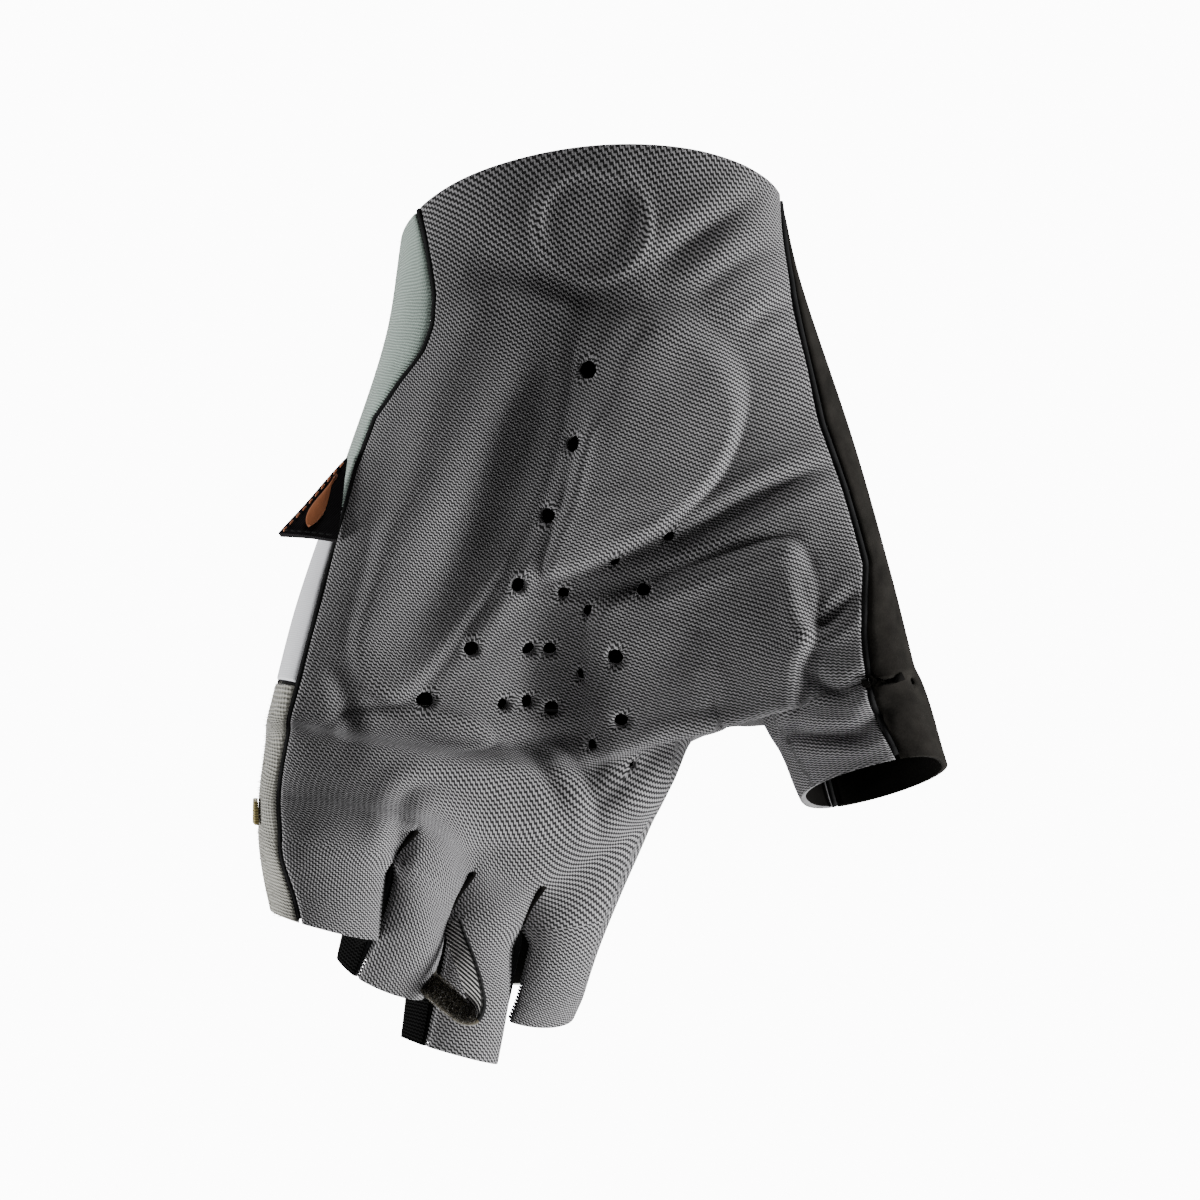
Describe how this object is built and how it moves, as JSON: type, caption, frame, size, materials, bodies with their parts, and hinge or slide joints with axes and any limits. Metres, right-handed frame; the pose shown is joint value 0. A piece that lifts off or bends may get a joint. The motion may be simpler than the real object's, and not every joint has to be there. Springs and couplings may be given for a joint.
{
  "type": "mountain bike glove",
  "caption": "Short-finger cycling glove for the left hand, worn form, with padded perforated palm, knit back and pull loop.",
  "frame": {"origin": "centre of the wrist opening, where the hand enters", "axes": "+Z towards the cuff, along the hand; +X across the hand towards the thumb; -Y out of the palm"},
  "size_m": [0.1236, 0.0584, 0.1667],
  "materials": {
    "palm": "two-tone grey woven mesh with a soft sheen",
    "sage": "fine-ribbed knit, matt",
    "white": "smooth stretch knit",
    "cream": "fuzzy looped knit",
    "suede": "black microfibre suede, matt with short nap",
    "gusset": "black side-wall mesh",
    "twill": "herringbone twill webbing",
    "tab": "black woven label tape",
    "orange": "plain orange patch",
    "ochre": "ochre edge label"
  },
  "bodies": {
    "root": {"palm_panel": "palm", "cuff_back": "sage", "hand_back": "white", "finger_back": "cream", "thumb_back": "suede", "gusset_little_ring": "gusset", "gusset_ring_middle": "gusset", "gusset_middle_index": "gusset", "pull_loop": "twill", "side_tab": "tab", "tab_badge": "orange", "accent_label": "ochre"}
  },
  "joints": []
}
